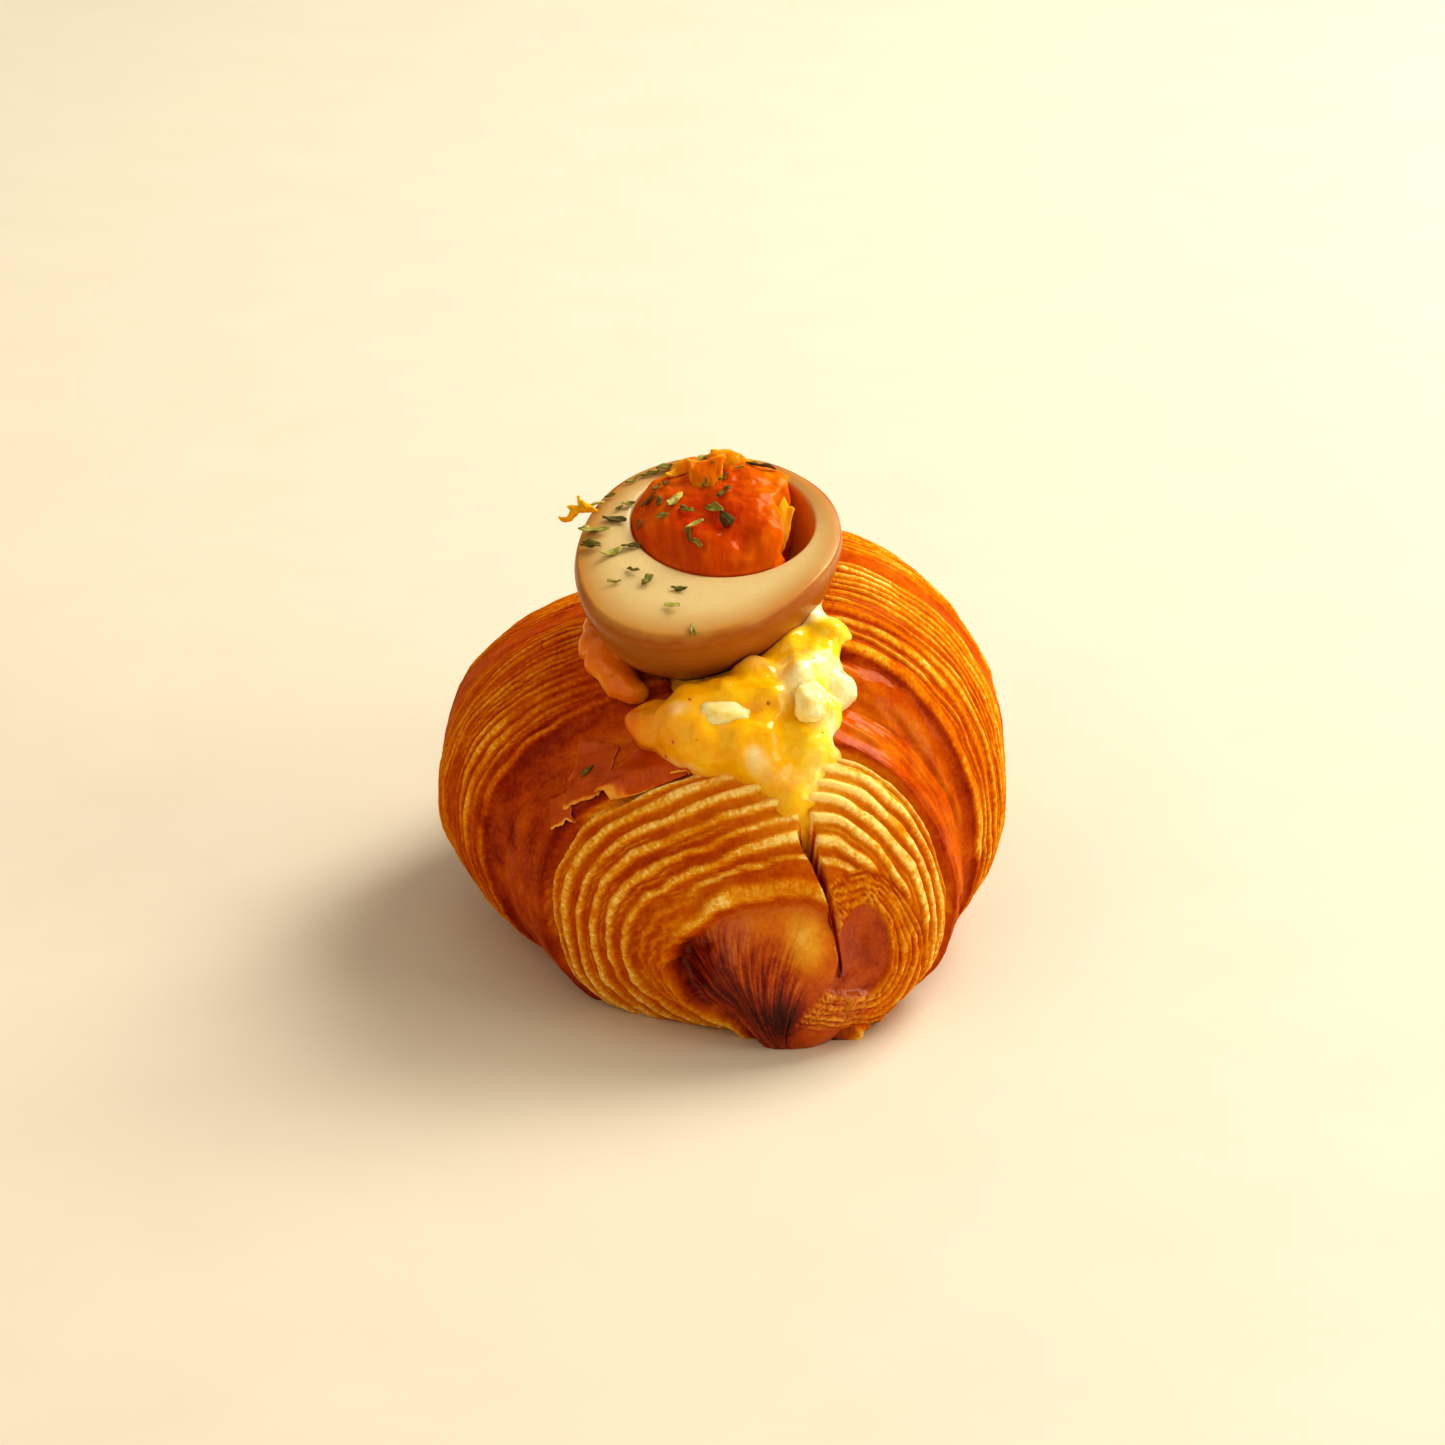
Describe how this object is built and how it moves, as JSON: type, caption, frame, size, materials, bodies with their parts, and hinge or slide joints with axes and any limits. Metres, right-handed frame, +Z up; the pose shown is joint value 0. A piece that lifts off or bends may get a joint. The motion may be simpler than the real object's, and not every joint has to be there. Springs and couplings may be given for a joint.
{
  "type": "filled croissant",
  "caption": "Glazed laminated croissant slit along its top, filled with egg salad and topped with half a marinated soft-boiled egg and dried parsley.",
  "frame": {"origin": "middle of the base of the bounding box, on the surface that the pastry rests on", "axes": "+Z up, +Y from the front tip to the back tip, both tips bend towards +X, the egg lies towards -Y"},
  "size_m": [0.09, 0.1248, 0.0755],
  "materials": {
    "crust": "glazed, baked to a deep orange brown, with pale golden ridges",
    "dressing": "wet, glossy, lumpy",
    "chopped_white": "smooth and moist",
    "marinated_white": "smooth, slightly translucent, brown skin and cream cut face",
    "yolk": "jammy, wet, translucent",
    "parsley": "dry, matte"
  },
  "bodies": {
    "root": {"chopped_white_1": "chopped_white", "chopped_white_2": "chopped_white", "chopped_white_3": "chopped_white", "chopped_white_4": "chopped_white", "croissant_pastry": "crust", "egg_salad": "dressing", "egg_yolk": "yolk", "marinated_egg_white": "marinated_white", "parsley_flake_01": "parsley", "parsley_flake_02": "parsley", "parsley_flake_03": "parsley", "parsley_flake_04": "parsley", "parsley_flake_05": "parsley", "parsley_flake_06": "parsley", "parsley_flake_07": "parsley", "parsley_flake_08": "parsley", "parsley_flake_09": "parsley", "parsley_flake_10": "parsley", "parsley_flake_11": "parsley", "parsley_flake_12": "parsley", "parsley_flake_13": "parsley", "parsley_flake_14": "parsley", "parsley_flake_15": "parsley", "parsley_flake_16": "parsley", "parsley_flake_17": "parsley", "parsley_flake_18": "parsley", "parsley_flake_19": "parsley", "parsley_flake_20": "parsley", "parsley_flake_21": "parsley", "parsley_flake_22": "parsley", "parsley_flake_23": "parsley", "parsley_flake_24": "parsley", "parsley_flake_25": "parsley", "parsley_flake_26": "parsley", "parsley_flake_27": "parsley", "parsley_flake_28": "parsley", "parsley_flake_29": "parsley", "parsley_flake_30": "parsley", "parsley_flake_31": "parsley", "parsley_flake_32": "parsley", "parsley_flake_33": "parsley", "parsley_flake_34": "parsley", "parsley_flake_35": "parsley", "parsley_flake_36": "parsley", "parsley_flake_37": "parsley", "parsley_flake_38": "parsley", "parsley_flake_39": "parsley", "yolk_curl": "yolk"}
  },
  "joints": []
}
